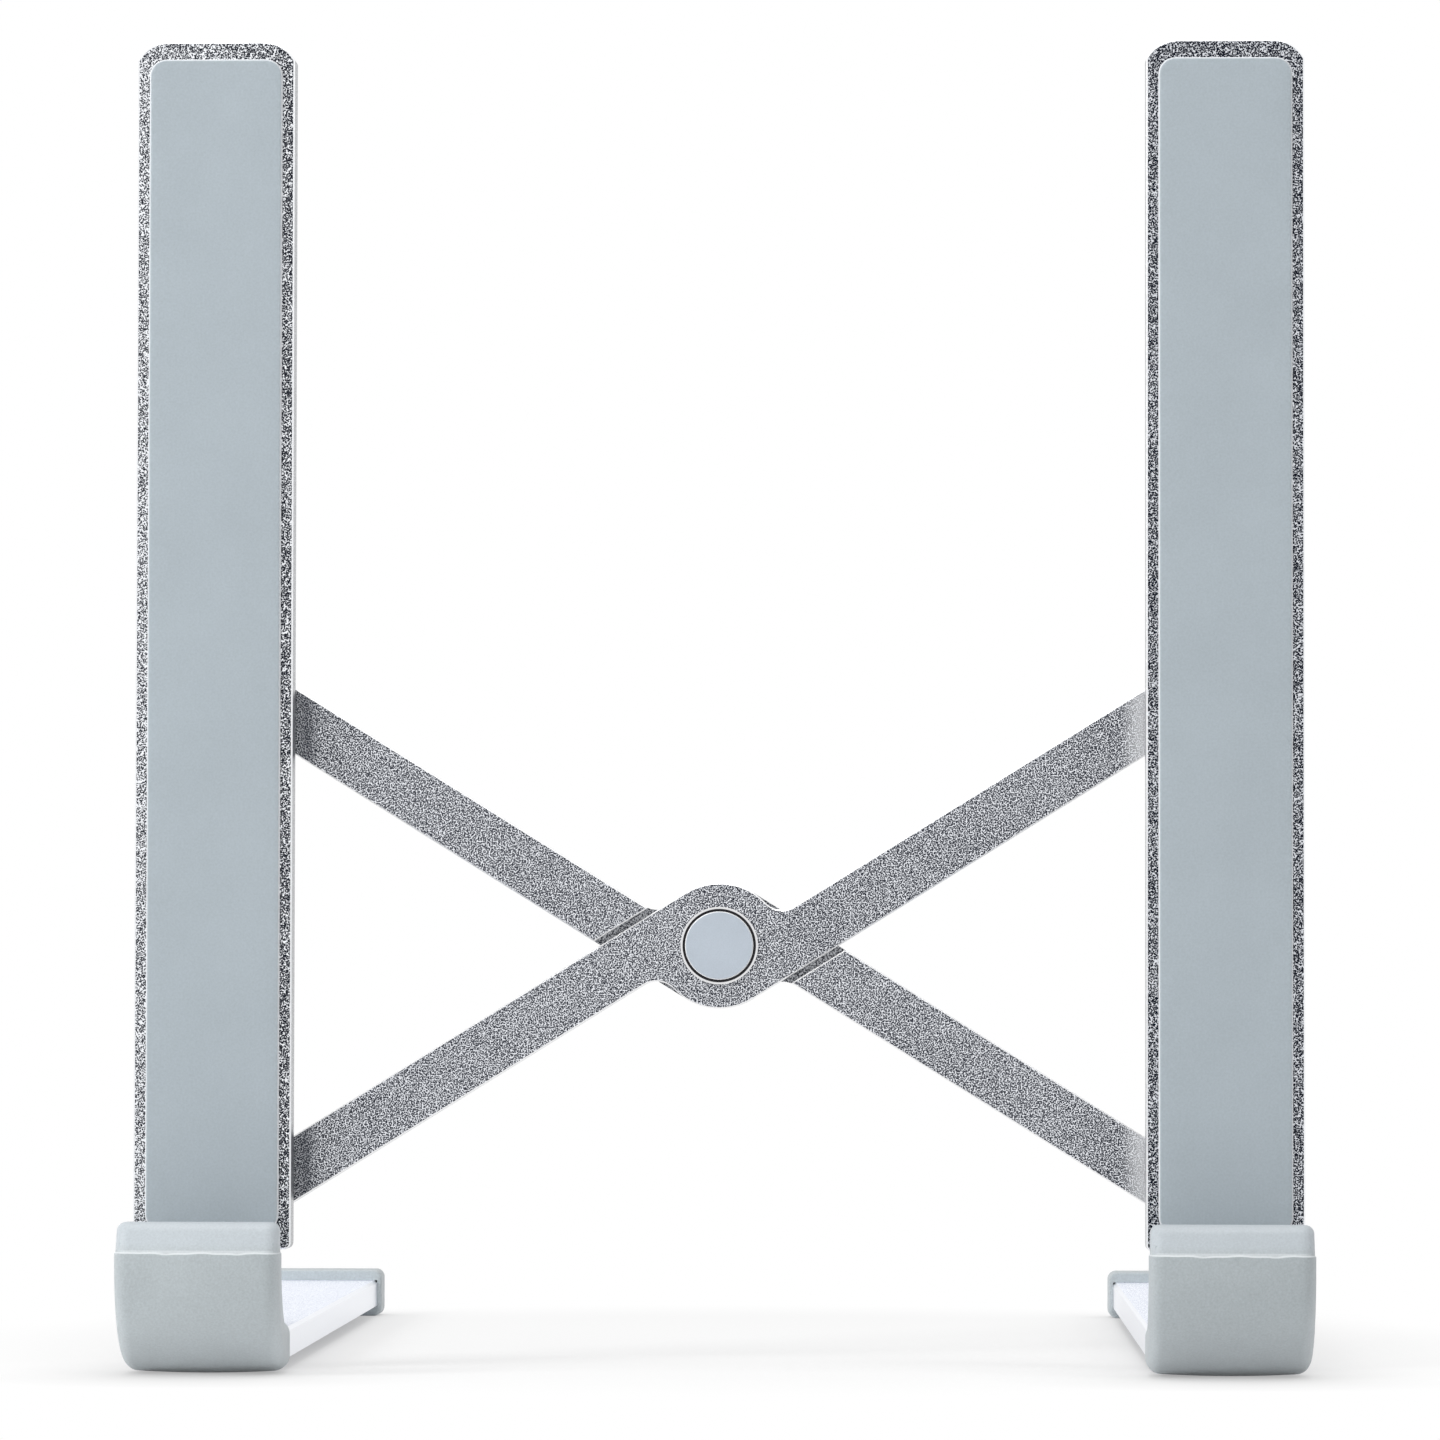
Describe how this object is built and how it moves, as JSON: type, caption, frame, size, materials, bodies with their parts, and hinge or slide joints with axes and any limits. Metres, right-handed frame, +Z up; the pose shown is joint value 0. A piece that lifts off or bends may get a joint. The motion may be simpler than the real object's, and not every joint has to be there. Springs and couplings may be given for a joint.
{
  "type": "folding laptop stand",
  "caption": "Silver folding laptop stand: padded upright arms joined by a scissor cross, hinged floor legs with grey silicone hooks in front and end caps behind",
  "frame": {"origin": "on the floor under the middle of the overall box", "axes": "+X to the right as seen in the picture, +Y to the back along the legs, +Z up along the arms"},
  "size_m": [0.2228, 0.2476, 0.2528],
  "materials": {
    "arm_aluminium": "bead-blasted silver anodised",
    "leg_aluminium": "bead-blasted silver anodised",
    "bar_aluminium": "bead-blasted silver anodised",
    "pad_rubber": "matt blue-grey silicone rubber",
    "boot_silicone": "matt grey silicone",
    "hub_cap_plastic": "matt blue-grey disc",
    "slider_plastic": "moulded grey",
    "washer_plastic": "moulded natural",
    "steel": "turned and stamped bright steel",
    "dark_steel": "black oxide screws"
  },
  "bodies": {
    "left_arm": {"left_arm": "arm_aluminium", "left_arm_pad": "pad_rubber", "left_hinge_knuckle": "steel", "left_knuckle_set_screws": "dark_steel", "left_lower_pivot_pin": "steel", "left_lower_pivot_washer": "washer_plastic"},
    "left_leg": {"left_leg": "leg_aluminium", "left_front_boot": "boot_silicone", "left_rear_boot": "boot_silicone", "left_hinge_bracket": "steel", "left_bracket_screws": "dark_steel", "left_hinge_pin": "steel", "left_friction_washers": "steel"},
    "left_slider": {"left_slider": "slider_plastic"},
    "right_arm": {"right_arm": "arm_aluminium", "right_arm_pad": "pad_rubber", "right_hinge_knuckle": "steel", "right_knuckle_set_screws": "dark_steel", "right_lower_pivot_pin": "steel", "right_lower_pivot_washer": "washer_plastic"},
    "right_leg": {"right_leg": "leg_aluminium", "right_front_boot": "boot_silicone", "right_rear_boot": "boot_silicone", "right_hinge_bracket": "steel", "right_bracket_screws": "dark_steel", "right_hinge_pin": "steel", "right_friction_washers": "steel"},
    "right_slider": {"right_slider": "slider_plastic"},
    "front_bar": {"front_cross_bar": "bar_aluminium", "hub_rivet": "steel", "hub_cap": "hub_cap_plastic", "hub_collar": "steel", "hub_washer": "washer_plastic", "right_slider_rivet": "steel"},
    "rear_bar": {"rear_cross_bar": "bar_aluminium", "left_slider_rivet": "steel"}
  },
  "joints": [
    {"name": "cross_fold", "type": "hinge", "parent": "left_arm", "child": "front_bar", "pos_m": [-0.096, -0.08525, 0.0287], "axis": [0, -1, 0], "range_deg": [0, 53.1]},
    {"name": "hub_turn", "type": "hinge", "parent": "front_bar", "child": "rear_bar", "pos_m": [0, -0.08525, 0.08065], "axis": [0, -1, 0], "range_deg": [-106.2, 0]},
    {"name": "right_arm_pivot", "type": "hinge", "parent": "rear_bar", "child": "right_arm", "pos_m": [0.096, -0.08525, 0.0287], "axis": [0, -1, 0], "range_deg": [0, 53.1]},
    {"name": "right_slider_turn", "type": "hinge", "parent": "front_bar", "child": "right_slider", "pos_m": [0.096, -0.08525, 0.1326], "axis": [0, -1, 0], "range_deg": [-53.1, 0]},
    {"name": "left_slider_turn", "type": "hinge", "parent": "rear_bar", "child": "left_slider", "pos_m": [-0.096, -0.08525, 0.1326], "axis": [0, -1, 0], "range_deg": [0, 53.1]},
    {"name": "left_leg_fold", "type": "hinge", "parent": "left_arm", "child": "left_leg", "pos_m": [-0.096, -0.09105, 0.019], "axis": [1, 0, 0], "range_deg": [0, 90]},
    {"name": "right_leg_fold", "type": "hinge", "parent": "right_arm", "child": "right_leg", "pos_m": [0.096, -0.09105, 0.019], "axis": [1, 0, 0], "range_deg": [0, 90]}
  ],
  "couplings": [
    {"joint": "hub_turn", "follows": "cross_fold", "ratio": -2},
    {"joint": "right_arm_pivot", "follows": "cross_fold", "ratio": 1},
    {"joint": "right_slider_turn", "follows": "cross_fold", "ratio": -1},
    {"joint": "left_slider_turn", "follows": "cross_fold", "ratio": 1}
  ]
}
